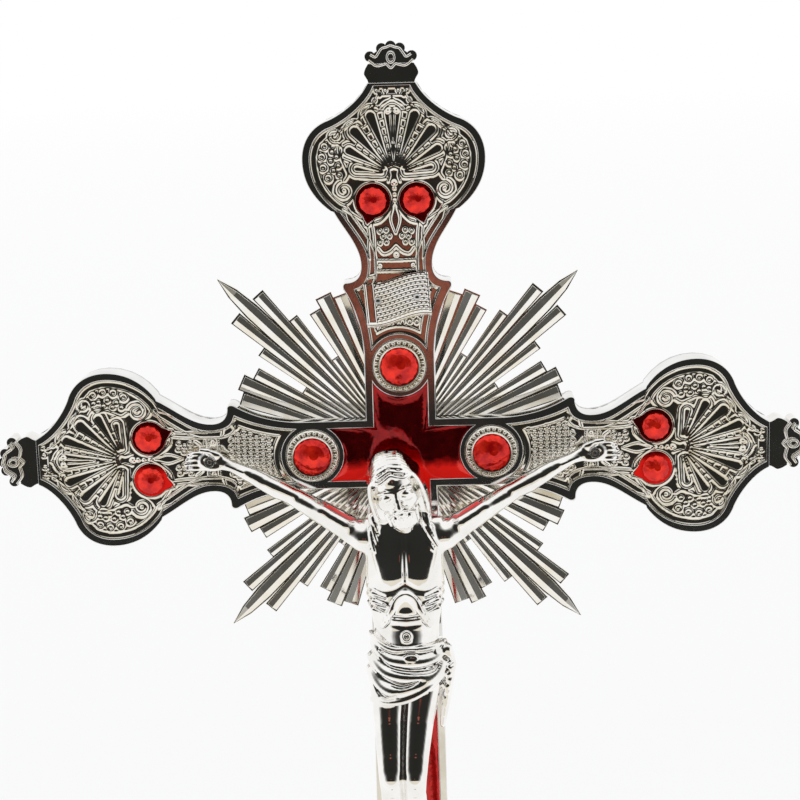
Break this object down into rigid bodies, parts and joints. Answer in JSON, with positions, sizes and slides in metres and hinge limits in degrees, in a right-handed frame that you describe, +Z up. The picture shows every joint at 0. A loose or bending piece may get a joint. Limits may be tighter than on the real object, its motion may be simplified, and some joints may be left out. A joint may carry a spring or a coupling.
{
  "type": "processional cross",
  "caption": "Ornate metal processional cross with budded arms, sunburst rays, red enamel and stones, a cast figure, a knop and a clamping staff socket.",
  "frame": {"origin": "centre of the staff socket's mouth", "axes": "+Z up along the staff, -Y towards the viewer in front of the figure, +X to that viewer's right"},
  "size_m": [0.34, 0.0748, 0.6024],
  "materials": {
    "frame_chrome": "polished bright plating on a cast frame",
    "ray_chrome": "bright plating on faceted rays",
    "relief_chrome": "bright plating over cast relief, darker in the hollows",
    "figure_chrome": "mirror-bright plating on a cast figure",
    "red_enamel": "translucent glossy red enamel",
    "red_stone": "faceted red stones with bright backs",
    "turned_chrome": "bright plating on turned and cast pieces",
    "steel": "plain bright steel",
    "brass": "plain turned brass"
  },
  "bodies": {
    "root": {"cross_frame": "frame_chrome", "back_plate": "frame_chrome", "rear_hub": "frame_chrome", "ray_cluster_upper_right": "ray_chrome", "ray_cluster_upper_left": "ray_chrome", "ray_cluster_lower_left": "ray_chrome", "ray_cluster_lower_right": "ray_chrome", "arm_panel_right": "relief_chrome", "arm_panel_top": "relief_chrome", "arm_panel_left": "relief_chrome", "arm_panel_bottom": "relief_chrome", "gem_bezel_right": "relief_chrome", "gem_bezel_top": "relief_chrome", "gem_bezel_left": "relief_chrome", "titulus_scroll": "relief_chrome", "corpus": "figure_chrome", "enamel_inlay": "red_enamel", "gem_right": "red_stone", "gem_top": "red_stone", "gem_left": "red_stone", "stones_right": "red_stone", "stones_top": "red_stone", "stones_left": "red_stone", "stones_bottom": "red_stone", "finial_right": "turned_chrome", "finial_top": "turned_chrome", "finial_left": "turned_chrome", "base_collar": "turned_chrome", "knop": "turned_chrome", "knop_ring": "turned_chrome", "staff_socket": "turned_chrome", "titulus_rivets": "steel", "hand_nails": "steel", "foot_nail": "steel", "corpus_nuts": "steel", "tie_rod": "steel", "tie_nut": "steel", "back_screws": "steel", "hub_screws": "steel"},
    "pad": {"screw_pad": "brass"},
    "screw": {"thumb_screw": "steel"}
  },
  "joints": [
    {"name": "pad_slide", "type": "slide", "parent": "root", "child": "pad", "axis": [0, -1, 0], "range_m": [0, 0.004]},
    {"name": "screw_turn", "type": "hinge", "parent": "pad", "child": "screw", "pos_m": [0, 0.02, 0.032], "axis": [0, -1, 0], "range_deg": [0, 1440]}
  ],
  "couplings": [
    {"joint": "screw_turn", "follows": "pad_slide", "rad_per_m": 6283.2}
  ]
}
